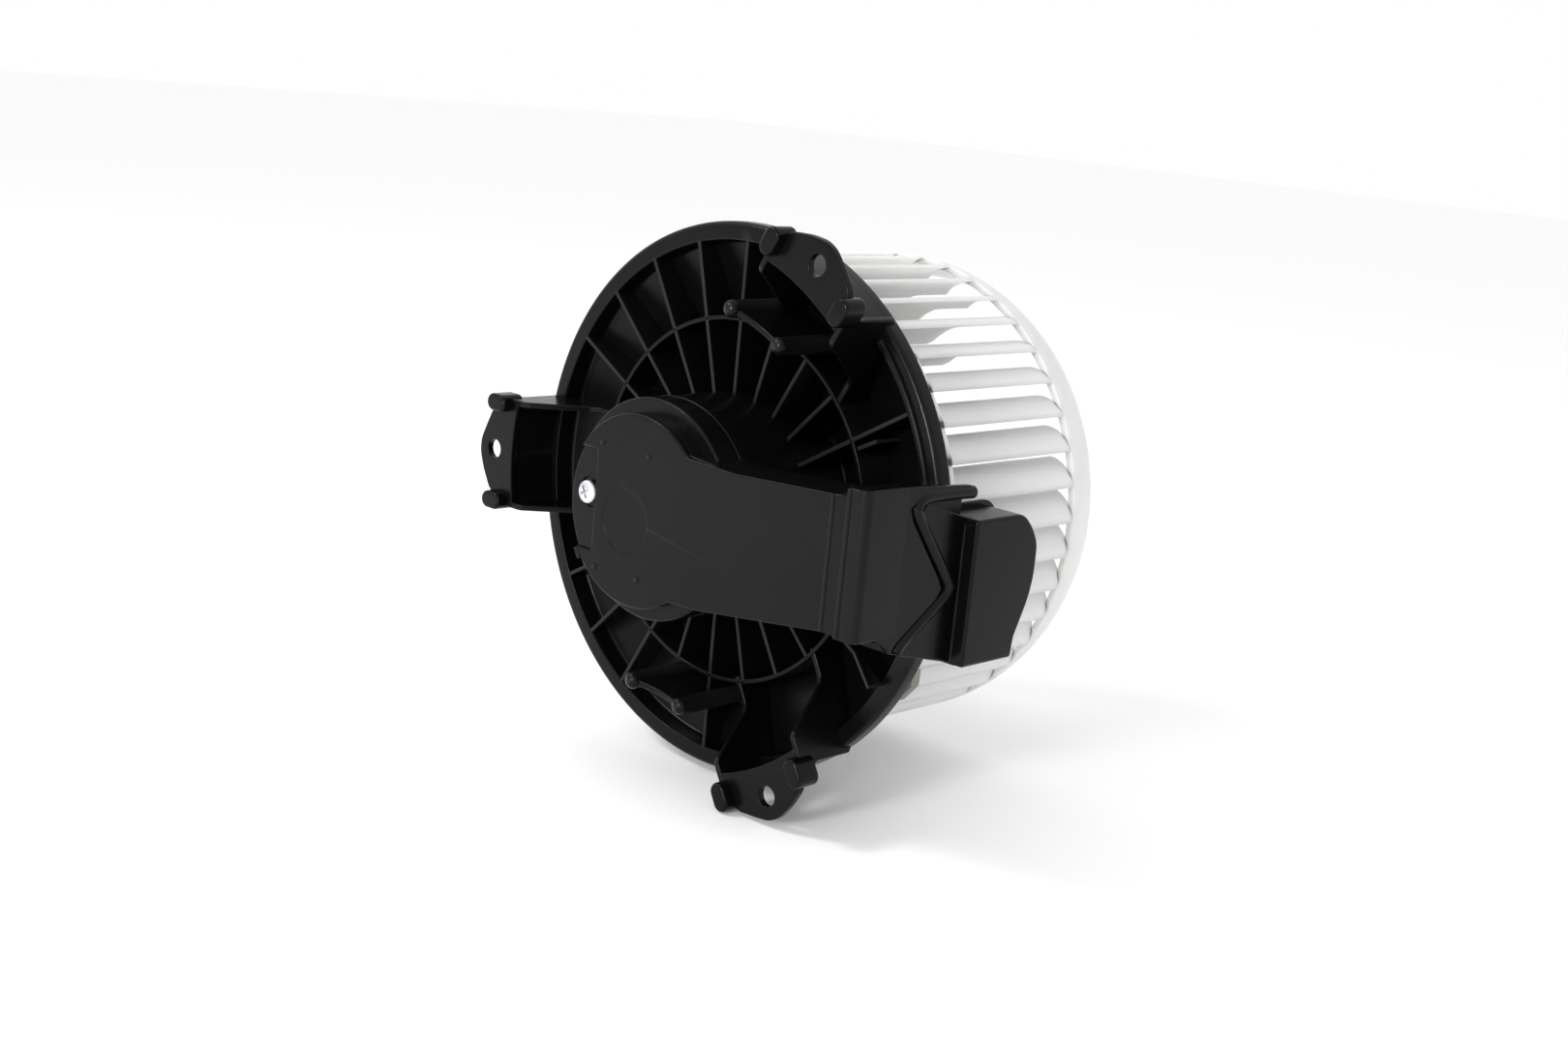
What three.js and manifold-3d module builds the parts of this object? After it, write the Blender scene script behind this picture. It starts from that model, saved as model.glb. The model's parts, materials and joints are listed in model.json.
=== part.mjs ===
// Blower motor with its fan wheel, for a vehicle's heater and air conditioning unit.
// Units are millimetres. The motor's axis is Y, with the wheel towards +Y and the motor's
// cover towards -Y. The cooling duct leaves the cover along +X, and +Z is up.
// The origin is on the axis, in the plane of the flange's front face.

import * as THREE from 'three';
import { mergeVertices } from 'three/addons/utils/BufferGeometryUtils.js';
import Module from 'manifold-3d';

const wasm = await Module();
wasm.setup();

// ---------------------------------------------------------------- driving dimensions

const GAP = 0.3;                      // clearance between pieces that touch
const WALL = 2.2;                     // moulded wall thickness

const RIM = { outer: 90, inner: 84, depth: 6 };
const HOLDER = { outer: 35.4, inner: 32.8, front: -24, floor: 20, back: 26, eye: 17 };
const FLOOR = { thickness: 2.2, rimY: 7, spigot: 9.5 };
const RIB = { thickness: 1.4, ringRadius: 59.3 };
const FULL_RIBS = [0, 15, 30, 90, 105, 120, 135, 150, 210, 225, 240, 270, 300, 330, 345];
const SHORT_RIBS = [45, 60, 75, 165, 180, 195, 255, 285, 315];

const EAR = {
  angles: [180, 60, 300], halfWidth: 19, plateY: -19, plate: 2.6, wallInner: 86.3,
  tip: 103.2, holeAt: 95.6, holeRadius: 3.3, footStart: 55, footEnd: 66, shoulder: 80, sideEnd: 92,
};
const LUG = { at: 91.5, side: 17.2, width: 6, length: 9.6, front: -23 };
const POST = { radius: 2.9, at: 66, front: -19.5, pairs: [[79, 59], [254, 274]], web: 2 };
const BEAD = { inner: 84, outer: 87, rise: 1.4, from: 15, to: 46 };

const CAP = { front: -40, stepY: -33.4, radius: 30.6, baseRadius: 35.3, back: -24.3 };
const ARM = { back: -21, ridge: 81.5, lip: 88, end: 94.4 };
const DUCT = { left: 74, right: 92, top: 21.4, bottom: -24.6, lowBack: -30.6 };
const SCOOP = { inner: 84, outer: 99.6, front: 4.6, end: 36, top: 14.6, bottom: -30.6 };

const WHEEL = {
  blades: 43, outer: 80.2, inner: 65, inletInner: 70.5, nearY: 17.5, hubY: 20.4, baseInner: 62,
  ringY: 81, farY: 99.7, ringNear: 80.2, ringFar: 74, bow: 8.75, curl: 14.5, phase: -0.25,
  blade: 1.3, boreTop: 62, stepY: 58,
};

const CLIP = { y: 28.5, width: 3.8, inner: 74, metal: 0.8, bladeIndex: -4 };

const MOTOR = { canOuter: 30, canInner: 28.4, canFront: -20, canBack: 22, plateFront: -22.6 };
const SHAFT = { radius: 4, front: -30, end: 66 };
const MAGNET = { outer: 28.1, inner: 23, front: -8, back: 16, halfSpan: 66 };
const CORE = { radius: 22.3, front: -7, back: 14, slots: 12, root: 11, slotWidth: 4.2, tooth: 18.8 };
const LEAD_NOTCH = { x: 33, y: -22.4, z: 10.6, half: 4.2 };
const COMMUTATOR = { radius: 9.5, front: -17, back: -10.6, bars: 12 };
const BRUSH = { half: 2.6, long: 8, y: -13.8 };

// ---------------------------------------------------------------- solids and placing

function signedVolume(points, triangles) {
  const a = new THREE.Vector3();
  const b = new THREE.Vector3();
  const c = new THREE.Vector3();
  let total = 0;
  for (let i = 0; i < triangles.length; i += 3) {
    a.fromArray(points, 3 * triangles[i]);
    b.fromArray(points, 3 * triangles[i + 1]);
    c.fromArray(points, 3 * triangles[i + 2]);
    total += a.dot(b.cross(c));
  }
  return total / 6;
}

// A closed three.js geometry as a solid, with its faces turned outwards.
function solid(geometry) {
  const bare = geometry.clone();
  bare.deleteAttribute('normal');
  bare.deleteAttribute('uv');
  const merged = mergeVertices(bare, 1e-4);
  const points = merged.attributes.position.array;
  const triangles = [];
  const index = merged.index.array;
  for (let i = 0; i < index.length; i += 3) {
    const [a, b, c] = [index[i], index[i + 1], index[i + 2]];
    if (a !== b && b !== c && c !== a) {
      triangles.push(a, b, c);
    }
  }
  if (signedVolume(points, triangles) < 0) {
    triangles.reverse();
  }
  return new wasm.Manifold(new wasm.Mesh({
    numProp: 3,
    vertProperties: new Float32Array(points),
    triVerts: new Uint32Array(triangles),
  }));
}

function join(...solids) {
  return solids.reduce((sum, next) => sum.add(next));
}

function cut(body, ...tools) {
  return tools.reduce((left, tool) => left.subtract(tool), body);
}

function geometryOf(body) {
  const mesh = body.getMesh();
  const geometry = new THREE.BufferGeometry();
  geometry.setAttribute('position', new THREE.BufferAttribute(new Float32Array(mesh.vertProperties), 3));
  geometry.setIndex(new THREE.BufferAttribute(new Uint32Array(mesh.triVerts), 1));
  const faceted = geometry.toNonIndexed();
  faceted.computeVertexNormals();
  return faceted;
}

// Turned about the motor's axis: profile points are [radius, y].
function turned(profile, segments = 36) {
  const closed = [...profile, profile[0]];
  return solid(new THREE.LatheGeometry(closed.map(([r, y]) => new THREE.Vector2(r, y)), segments));
}

function ringY(outer, inner, y0, y1, segments = 36) {
  return turned([[inner, y0], [outer, y0], [outer, y1], [inner, y1]], segments);
}

function discY(radius, y0, y1, segments = 36) {
  return turned([[0, y0], [radius, y0], [radius, y1], [0, y1]], segments);
}

function block(x0, x1, y0, y1, z0, z1) {
  const geometry = new THREE.BoxGeometry(x1 - x0, y1 - y0, z1 - z0);
  geometry.translate((x0 + x1) / 2, (y0 + y1) / 2, (z0 + z1) / 2);
  return solid(geometry);
}

function outline(points) {
  return new THREE.Shape(points.map(([u, v]) => new THREE.Vector2(u, v)));
}

function extruded(shape, depth) {
  return new THREE.ExtrudeGeometry(shape, { depth, bevelEnabled: false, curveSegments: 6 });
}

// A prism along Y from an outline in X and Z.
function prismY(shape, y0, y1) {
  const geometry = extruded(shape, y1 - y0);
  geometry.rotateX(Math.PI / 2);
  geometry.translate(0, y1, 0);
  return solid(geometry);
}

// A prism along X from an outline in Y and Z.
function prismX(shape, x0, x1) {
  const geometry = extruded(shape, x1 - x0);
  const turn = new THREE.Matrix4().set(0, 0, 1, x0, 1, 0, 0, 0, 0, 1, 0, 0, 0, 0, 0, 1);
  return solid(geometry.applyMatrix4(turn));
}

// A prism along Z from an outline in X and Y.
function prismZ(shape, z0, z1) {
  const geometry = extruded(shape, z1 - z0);
  geometry.translate(0, 0, z0);
  return solid(geometry);
}

function rod(radius, length, segments = 14) {
  return new THREE.CylinderGeometry(radius, radius, length, segments);
}

function rodY(radius, y0, y1, x = 0, z = 0, segments = 14) {
  return solid(rod(radius, y1 - y0, segments).translate(x, (y0 + y1) / 2, z));
}

function rodZ(radius, z0, z1, x, y, segments = 12) {
  return solid(rod(radius, z1 - z0, segments).rotateX(Math.PI / 2).translate(x, y, (z0 + z1) / 2));
}

// Turns a solid about the motor's axis, from +X towards +Z.
function spun(body, degrees) {
  return body.rotate([0, -degrees, 0]);
}

function polar(radius, degrees) {
  const angle = THREE.MathUtils.degToRad(degrees);
  return [radius * Math.cos(angle), radius * Math.sin(angle)];
}

// A sector about the motor's axis between two angles, for cutting rings into arcs.
function wedge(from, to, y0, y1, reach = 60) {
  const middle = (from + to) / 2;
  const shape = outline([[0, 0], polar(reach, from), polar(1.3 * reach, middle), polar(reach, to)]);
  return prismY(shape, y0, y1);
}

// ---------------------------------------------------------------- materials and nodes

const finishes = {
  blackPlastic: { color: 0x1b1b1c, roughness: 0.5, metalness: 0 },
  whitePlastic: { color: 0xe4e4e2, roughness: 0.4, metalness: 0 },
  zincSteel: { color: 0xb9bcc0, roughness: 0.35, metalness: 1 },
  steel: { color: 0x8f9397, roughness: 0.4, metalness: 1 },
  darkSteel: { color: 0x4b4d50, roughness: 0.5, metalness: 0.9 },
  ferrite: { color: 0x3a3a3c, roughness: 0.8, metalness: 0.1 },
  copper: { color: 0xb5623a, roughness: 0.4, metalness: 1 },
  bronze: { color: 0xa07a45, roughness: 0.5, metalness: 1 },
  brass: { color: 0xc2a14e, roughness: 0.4, metalness: 1 },
  carbon: { color: 0x26262a, roughness: 0.7, metalness: 0.2 },
  rubber: { color: 0x151515, roughness: 0.85, metalness: 0 },
  phenolic: { color: 0x5a3a24, roughness: 0.6, metalness: 0 },
};

const assembly = new THREE.Group();

function addNode(name, body, finish) {
  const mesh = new THREE.Mesh(geometryOf(body), new THREE.MeshStandardMaterial(finishes[finish]));
  mesh.name = name;
  assembly.add(mesh);
}

// ---------------------------------------------------------------- flange

function flangeFloorY(radius) {
  const share = (RIM.inner - radius) / (RIM.inner - HOLDER.outer);
  return FLOOR.rimY + share * (HOLDER.floor - FLOOR.rimY);
}

function flangeBody() {
  return turned([
    [HOLDER.outer, HOLDER.front], [HOLDER.outer, HOLDER.floor], [RIM.inner, FLOOR.rimY],
    [RIM.inner, 0], [RIM.outer - 1.5, 0], [RIM.outer, 1.5], [RIM.outer, RIM.depth],
    [RIM.inner + WALL, RIM.depth], [RIM.inner + WALL, FLOOR.spigot],
    [HOLDER.outer + WALL, HOLDER.floor + FLOOR.thickness], [HOLDER.outer + WALL, HOLDER.back],
    [HOLDER.eye, HOLDER.back], [HOLDER.eye, HOLDER.back - WALL],
    [HOLDER.inner, HOLDER.back - WALL], [HOLDER.inner, HOLDER.front],
  ], 48);
}

function rib(degrees, outerRadius) {
  const start = HOLDER.outer - 1;
  const shape = outline([
    [start, 0], [outerRadius, 0],
    [outerRadius, flangeFloorY(outerRadius) + 1], [start, flangeFloorY(start) + 1],
  ]);
  return spun(prismZ(shape, -RIB.thickness / 2, RIB.thickness / 2), degrees);
}

function ribs() {
  const full = FULL_RIBS.map((angle) => rib(angle, RIM.inner + 1));
  const short = SHORT_RIBS.map((angle) => rib(angle, RIB.ringRadius));
  const half = RIB.thickness / 2;
  const ringBack = flangeFloorY(RIB.ringRadius) + 1;
  const ring = ringY(RIB.ringRadius + half, RIB.ringRadius - half, 0, ringBack, 48);
  return join(ring, ...full, ...short);
}

function stadium(length, width) {
  const shape = new THREE.Shape();
  const straight = (length - width) / 2;
  shape.absarc(straight, 0, width / 2, -Math.PI / 2, Math.PI / 2, false);
  shape.absarc(-straight, 0, width / 2, Math.PI / 2, 1.5 * Math.PI, false);
  return shape;
}

function earPlate() {
  const plate = outline([
    [EAR.wallInner, -EAR.halfWidth + 1], [EAR.sideEnd, -EAR.halfWidth + 1], [98.4, -13], [101.8, -6],
    [EAR.tip, 0], [101.8, 6], [98.4, 13], [EAR.sideEnd, EAR.halfWidth - 1],
    [EAR.wallInner, EAR.halfWidth - 1],
  ]);
  const hole = rodY(EAR.holeRadius, EAR.plateY - 1, EAR.plateY + EAR.plate + 1, EAR.holeAt, 0, 20);
  return prismY(plate, EAR.plateY, EAR.plateY + EAR.plate).subtract(hole);
}

function earSide(side) {
  const shape = outline([
    [EAR.footStart, 0], [EAR.footEnd, 0], [EAR.shoulder, EAR.plateY], [EAR.sideEnd, EAR.plateY],
    [EAR.sideEnd, EAR.plateY + EAR.plate], [RIM.outer - 1, EAR.plateY + 8], [RIM.outer - 1, 3],
    [RIM.inner + 1, 8], [EAR.footStart, flangeFloorY(EAR.footStart) + 1],
  ]);
  const middle = side * (EAR.halfWidth - 1);
  return prismZ(shape, middle - 1, middle + 1);
}

function lug(side) {
  const bar = prismY(stadium(LUG.length, LUG.width), LUG.front, EAR.plateY + EAR.plate + 3);
  return bar.translate([LUG.at, 0, side * LUG.side]);
}

function ear(degrees) {
  const wall = ringY(RIM.outer, EAR.wallInner, EAR.plateY, 1, 48);
  const sector = block(0, 120, -40, 10, -EAR.halfWidth, EAR.halfWidth);
  const parts = join(
    wall.intersect(sector), earPlate(), earSide(1), earSide(-1), lug(1), lug(-1),
  );
  return spun(parts, degrees);
}

function post(degrees) {
  const [x, z] = polar(POST.at, degrees);
  const head = POST.front + 1.6;
  const body = turned([
    [0, POST.front], [POST.radius * 0.6, POST.front + 0.4], [POST.radius, head],
    [POST.radius, flangeFloorY(POST.at) + 1], [0, flangeFloorY(POST.at) + 1],
  ], 14);
  return body.translate([x, 0, z]);
}

function postPair([first, second]) {
  const middle = (first + second) / 2;
  const across = POST.at * Math.cos(THREE.MathUtils.degToRad((first - second) / 2));
  const reach = POST.at * Math.sin(THREE.MathUtils.degToRad(Math.abs(first - second) / 2));
  const half = POST.web / 2;
  const web = block(across - half, across + half, POST.front + 2, flangeFloorY(POST.at) + 1, -reach, reach);
  return join(post(first), post(second), spun(web, middle));
}

function rimBead() {
  const ring = ringY(BEAD.outer, BEAD.inner + 0.2, -BEAD.rise, 1, 48);
  return ring.intersect(wedge(BEAD.from, BEAD.to, -5, 2, 120));
}

function ductNotch() {
  const g = GAP;
  const side = outline([
    [-30, DUCT.bottom - g], [SCOOP.front, DUCT.lowBack - g], [60, SCOOP.bottom - g],
    [60, DUCT.top + g], [-30, DUCT.top + g],
  ]);
  return prismX(side, DUCT.left - g, 120);
}

function motorFlange() {
  const body = join(
    flangeBody(), ribs(), ...EAR.angles.map(ear), ...POST.pairs.map(postPair), rimBead(),
  );
  const leadWay = block(
    28, 38, HOLDER.front - 1, HOLDER.front + 4,
    LEAD_NOTCH.z - LEAD_NOTCH.half, LEAD_NOTCH.z + LEAD_NOTCH.half,
  );
  const bore = discY(HOLDER.inner, HOLDER.front - 1, HOLDER.back - WALL, 36);
  const screwHoles = motorScrewPlaces().map(([x, z]) => rodY(1.9, 20, 27, x, z));
  return cut(body, ductNotch(), leadWay, bore, ...screwHoles);
}

function motorScrewPlaces() {
  return [polar(23.5, 90), polar(23.5, 270)];
}

// ---------------------------------------------------------------- cover, arm and duct

function armOutline(inset) {
  return outline([
    [12, -25 + inset], [31, -24.2 + inset], [ARM.ridge, -17.8 + inset], [ARM.lip, -18 + inset],
    [ARM.end - inset, -19 + inset], [ARM.end - inset, 26 - inset], [ARM.lip, 26 - inset],
    [ARM.ridge, 23 - inset], [42, 20.6 - inset], [12, 21.6 - inset],
  ]);
}

// The end wall reaches back along the duct's side with a V-shaped edge.
function endWall() {
  const shape = outline([
    [CAP.front, -19], [-35, -18.6], [-19.4, -24.6], [-18, -23], [-1.5, -6.6], [-2.2, -3.5],
    [-14, 20], [-11, 22.4], [2, 22], [3, 24], [CAP.front, 26],
  ]);
  return prismX(shape, DUCT.right + GAP, ARM.end);
}

function ridge(x, z0, z1) {
  const shape = outline([[x - 1.5, CAP.front + 1], [x, CAP.front - 0.9], [x + 1.5, CAP.front + 1]]);
  return prismZ(shape, z0, z1);
}

function motorCover() {
  const base = turned([
    [0, CAP.front], [CAP.radius - 0.8, CAP.front], [CAP.radius, CAP.front + 0.8],
    [CAP.radius, CAP.stepY], [CAP.baseRadius, CAP.stepY], [CAP.baseRadius, CAP.back], [0, CAP.back],
  ], 36);
  const holderWay = discY(HOLDER.outer + GAP, CAP.back, ARM.back + 1);
  const arm = prismY(armOutline(0), CAP.front, ARM.back).subtract(holderWay);
  const hollow = turned([
    [0, CAP.front + WALL], [CAP.radius - WALL, CAP.front + WALL],
    [CAP.radius - WALL, CAP.stepY + WALL], [CAP.baseRadius - WALL, CAP.stepY + WALL],
    [CAP.baseRadius - WALL, CAP.back + 1], [0, CAP.back + 1],
  ], 36);
  const armHollow = prismY(armOutline(WALL), CAP.front + WALL, ARM.back + 1);
  const armBackWay = block(CAP.baseRadius - 3, ARM.end - WALL, ARM.back - 1, ARM.back + 20, -60, 60);
  const dish = discY(9.5, CAP.front - 1, CAP.front + 0.7, 32).translate([-4, 0, -4]);
  const screwRecess = rodY(4.6, CAP.front - 1, CAP.front + 1.2, -21.9, 1.8, 20);
  const screwHole = rodY(2.3, CAP.front - 1, CAP.back, -21.9, 1.8, 16);
  const pips = [[-16.3, 19], [4.9, 18.4], [-16.2, -21.3], [3.6, -21]];
  const shell = cut(join(base, arm, endWall()), hollow, armHollow, armBackWay.intersect(armTail()));
  const screwPost = cut(rodY(4.2, CAP.front + WALL - 0.5, CAP.back, -21.9, 1.8, 20), screwHole);
  return cut(
    join(
      cut(shell, dish), screwPost,
      ridge(ARM.ridge, -17.8, 23), ridge(ARM.lip, -18, 26),
      ...pips.map(([x, z]) => rodY(1, CAP.front - 0.6, CAP.front + 0.5, x, z, 8)),
    ),
    screwRecess, screwHole,
  );
}

// What is left out of the arm behind the duct's own back wall.
function armTail() {
  return prismY(armOutline(0), ARM.back - 0.5, ARM.back + 21);
}

function coolingDuct() {
  const elbowOuter = prismX(outline([
    [ARM.back + GAP, DUCT.bottom], [SCOOP.front, DUCT.lowBack],
    [SCOOP.front, DUCT.top], [ARM.back + GAP, DUCT.top],
  ]), DUCT.left, DUCT.right);
  const elbowInner = prismX(outline([
    [ARM.back - 5, DUCT.bottom + 5.8], [SCOOP.front + 8, DUCT.lowBack + WALL + 3],
    [SCOOP.front + 8, DUCT.top - 9], [ARM.back - 5, DUCT.top - WALL],
  ]), DUCT.left + WALL, DUCT.right - WALL);
  const backPlate = block(
    CAP.baseRadius + 6, DUCT.left + 1, ARM.back + GAP, ARM.back + GAP + WALL, -21, 18,
  );
  const scoop = cut(prismX(scoopOutline(0), SCOOP.inner, SCOOP.outer),
    prismX(scoopOutline(WALL), SCOOP.inner - 1, SCOOP.outer - WALL));
  const throat = block(DUCT.left + WALL, DUCT.right - WALL, 0, 8, -24.8, 12.4);
  const root = block(DUCT.left, SCOOP.outer, SCOOP.front, SCOOP.front + WALL, SCOOP.bottom, SCOOP.top);
  return cut(join(elbowOuter, backPlate, scoop, root), elbowInner, throat);
}

// The scoop's side, in Y and Z: square at the front, rounded at the free end.
function scoopOutline(inset) {
  const top = SCOOP.top - inset;
  const bottom = SCOOP.bottom + inset;
  const end = SCOOP.end - inset;
  const shape = new THREE.Shape();
  shape.moveTo(SCOOP.front + inset, bottom);
  shape.lineTo(29 - inset, bottom);
  shape.lineTo(29.5 - inset, -24);
  shape.lineTo(end - 1.5, -12);
  shape.lineTo(end, 0);
  shape.absarc(end - 9, 5.6 - inset, 9, 0, Math.PI / 2, false);
  shape.lineTo(SCOOP.front + inset, top);
  return shape;
}

function panScrew(x, z, headY, headRadius, length) {
  const profile = [
    [0, headY], [headRadius - 0.8, headY], [headRadius, headY + 0.8], [headRadius, headY + 2.2],
    [1.5, headY + 2.2], [1.5, headY + length], [0, headY + length],
  ];
  const socket = solid(new THREE.CylinderGeometry(1.5, 1.5, 1.6, 6).translate(0, headY + 0.5, 0));
  return turned(profile, 20).subtract(socket).translate([x, 0, z]);
}

// ---------------------------------------------------------------- fan wheel

// The angle, in degrees, of a blade's middle line at a radius. The line bows out to one side
// and then curls back, so that the tip lies nearly along the wheel's edge.
function bladeAngle(radius) {
  const share = Math.max(0, (radius - WHEEL.inner) / (WHEEL.outer - WHEEL.inner));
  return WHEEL.phase + WHEEL.bow * share - WHEEL.curl * share * share;
}

// The angle, in degrees, that a distance square to the blade takes up at a radius.
function squareOff(distance, radius) {
  const step = 0.01;
  const turn = THREE.MathUtils.degToRad(bladeAngle(radius + step) - bladeAngle(radius));
  const slope = (radius * turn) / step;
  return THREE.MathUtils.radToDeg((distance * Math.hypot(1, slope)) / radius);
}

// A strip that follows the blade's curve, set off sideways by an amount in millimetres.
function bladeStrip(innerRadius, outerRadius, thickness, offset = 0, steps = 5) {
  const side = (shift) => {
    const points = [];
    for (let i = 0; i <= steps; i += 1) {
      const radius = innerRadius + (i / steps) * (outerRadius - innerRadius);
      points.push(polar(radius, bladeAngle(radius) + squareOff(offset + shift, radius)));
    }
    return points;
  };
  return outline([...side(thickness / 2), ...side(-thickness / 2).reverse()]);
}

function blades() {
  const low = prismY(bladeStrip(WHEEL.inner, WHEEL.outer, WHEEL.blade), WHEEL.nearY, WHEEL.stepY);
  const high = prismY(
    bladeStrip(WHEEL.inletInner, WHEEL.outer - 1, WHEEL.blade, 0, 3), WHEEL.stepY - 1,
    WHEEL.ringY + 4,
  );
  const blade = join(low, high);
  const all = [];
  for (let i = 0; i < WHEEL.blades; i += 1) {
    all.push(spun(blade, (i * 360) / WHEEL.blades));
  }
  return join(...all);
}

// The flat ring that carries the blades' lower ends, round the hub's dome.
function bladeBase() {
  return turned([
    [WHEEL.outer, WHEEL.nearY], [WHEEL.outer, WHEEL.nearY + 2.4],
    [WHEEL.baseInner, WHEEL.hubY + 2.4], [WHEEL.baseInner, WHEEL.hubY],
  ], 43);
}

function wheelHub() {
  const edge = WHEEL.baseInner - GAP;
  return turned([
    [edge, WHEEL.hubY], [edge, WHEEL.hubY + 2.4], [50, 30.5], [26, 49], [11, 53], [9, WHEEL.boreTop],
    [SHAFT.radius + GAP, WHEEL.boreTop], [SHAFT.radius + GAP, 42], [9, 42], [9, 49],
    [25, 46.4], [48.5, 28.3],
  ], 36);
}

function shroudRing() {
  return turned([
    [WHEEL.ringNear, WHEEL.ringY], [WHEEL.ringNear - 0.6, WHEEL.ringY + 5], [WHEEL.ringFar, WHEEL.farY],
    [WHEEL.ringFar - 2.6, WHEEL.farY], [WHEEL.ringNear - 2.8, WHEEL.ringY],
  ], 43);
}

// A spring clip folded over the tip of one blade, with a leg along each of its faces.
function balanceClip() {
  const outside = WHEEL.outer + GAP;
  const leg = WHEEL.blade / 2 + GAP + CLIP.metal / 2;
  const near = CLIP.y - CLIP.width / 2;
  const far = CLIP.y + CLIP.width / 2;
  const legs = [-leg, leg].map((offset) => (
    prismY(bladeStrip(CLIP.inner, outside + CLIP.metal / 2, CLIP.metal, offset, 3), near, far)
  ));
  const ring = ringY(outside + CLIP.metal, outside, near, far, 90);
  const middle = bladeAngle(outside);
  const half = squareOff(leg + CLIP.metal / 2, outside);
  const fold = ring.intersect(wedge(middle - half, middle + half, near - 1, far + 1, 120));
  return spun(join(fold, ...legs), (CLIP.bladeIndex * 360) / WHEEL.blades);
}

// ---------------------------------------------------------------- motor

function motorYoke() {
  const can = turned([
    [MOTOR.canOuter, MOTOR.canFront], [MOTOR.canOuter, MOTOR.canBack], [13, MOTOR.canBack],
    [13, MOTOR.canBack + 5.4], [5, MOTOR.canBack + 5.4], [5, MOTOR.canBack + 4], [11.6, MOTOR.canBack + 4],
    [11.6, MOTOR.canBack - 1.6], [MOTOR.canInner, MOTOR.canBack - 1.6], [MOTOR.canInner, MOTOR.canFront],
  ], 36);
  return cut(can, ...motorScrewPlaces().map(([x, z]) => rodY(1.8, 18, 24, x, z)));
}

function endPlate() {
  return turned([
    [MOTOR.canOuter, MOTOR.plateFront], [MOTOR.canOuter, MOTOR.canFront - GAP],
    [11.6, MOTOR.canFront - GAP], [11.6, MOTOR.canFront - 6], [5, MOTOR.canFront - 6],
    [5, MOTOR.canFront - 7.6], [13, MOTOR.canFront - 7.6], [13, MOTOR.plateFront],
  ], 36);
}

function magnet(degrees) {
  const ring = ringY(MAGNET.outer, MAGNET.inner, MAGNET.front, MAGNET.back);
  const span = wedge(-MAGNET.halfSpan, MAGNET.halfSpan, MAGNET.front - 1, MAGNET.back + 1);
  return spun(ring.intersect(span), degrees);
}

function magnetSpring(degrees) {
  const [y0, y1] = [MAGNET.front + 3, MAGNET.back - 3];
  const back = ringY(MAGNET.outer - 0.2, MAGNET.outer - 1.2, y0, y1);
  const deep = ringY(MAGNET.outer - 0.2, MAGNET.inner + 0.6, y0, y1);
  const body = join(
    back.intersect(wedge(-22, 22, y0 - 1, y1 + 1)),
    deep.intersect(wedge(-22, -19.5, y0 - 1, y1 + 1)),
    deep.intersect(wedge(19.5, 22, y0 - 1, y1 + 1)),
  );
  return spun(body, degrees);
}

function armatureCore() {
  const slots = [];
  for (let i = 0; i < CORE.slots; i += 1) {
    const half = CORE.slotWidth / 2;
    const pocket = block(CORE.root + 1, CORE.tooth, CORE.front - 1, CORE.back + 1, -half, half);
    const mouth = block(CORE.tooth - 1, CORE.radius + 2, CORE.front - 1, CORE.back + 1, -0.9, 0.9);
    slots.push(spun(join(pocket, mouth), (i * 360) / CORE.slots));
  }
  const body = ringY(CORE.radius, SHAFT.radius + GAP, CORE.front, CORE.back, 36);
  return cut(body, ...slots);
}

function armatureWinding() {
  const inSlots = [];
  for (let i = 0; i < CORE.slots; i += 1) {
    const half = CORE.slotWidth / 2 - GAP;
    const wire = block(CORE.root + 1 + GAP, CORE.tooth - GAP, CORE.front - 2, CORE.back + 2, -half, half);
    inSlots.push(spun(wire, (i * 360) / CORE.slots));
  }
  const head = (y0, y1) => turned([
    [CORE.root + 0.4, y0], [18.6, y0], [20.4, (y0 + y1) / 2], [18.6, y1], [CORE.root + 0.4, y1],
  ], 36);
  return join(
    head(CORE.front - 3.2, CORE.front - GAP), head(CORE.back + GAP, CORE.back + 5), ...inSlots,
  );
}

function commutator() {
  const body = turned([
    [COMMUTATOR.radius, COMMUTATOR.front], [COMMUTATOR.radius, COMMUTATOR.back],
    [SHAFT.radius + GAP, COMMUTATOR.back], [SHAFT.radius + GAP, COMMUTATOR.front],
  ], 36);
  const slits = [];
  for (let i = 0; i < COMMUTATOR.bars; i += 1) {
    const slit = block(8.6, 11, COMMUTATOR.front - 1, COMMUTATOR.back + 1, -0.3, 0.3);
    slits.push(spun(slit, ((i + 0.5) * 360) / COMMUTATOR.bars));
  }
  return cut(body, ...slits);
}

function shaft() {
  return turned([
    [0, SHAFT.front], [SHAFT.radius - 0.6, SHAFT.front], [SHAFT.radius, SHAFT.front + 0.6],
    [SHAFT.radius, SHAFT.end - 0.6], [SHAFT.radius - 0.6, SHAFT.end], [0, SHAFT.end],
  ], 24);
}

function bush(y0, y1) {
  const middle = (y0 + y1) / 2;
  return turned([
    [9, y0], [10.8, middle - 1.2], [10.8, middle + 1.2], [9, y1],
    [SHAFT.radius + GAP, y1], [SHAFT.radius + GAP, y0],
  ], 20);
}

function brushPlate() {
  const plate = ringY(27.6, 12, BRUSH.y - 6, BRUSH.y - 3.6, 40);
  const guides = [-1, 1].map((side) => {
    const near = 12.6;
    const far = 25.4;
    const wide = BRUSH.half + 2.4;
    const [z0, z1] = side > 0 ? [near, far] : [-far, -near];
    const outer = block(-wide, wide, BRUSH.y - 4, BRUSH.y - BRUSH.half - 0.9, z0, z1);
    return outer;
  });
  return join(plate, ...guides);
}

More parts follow.
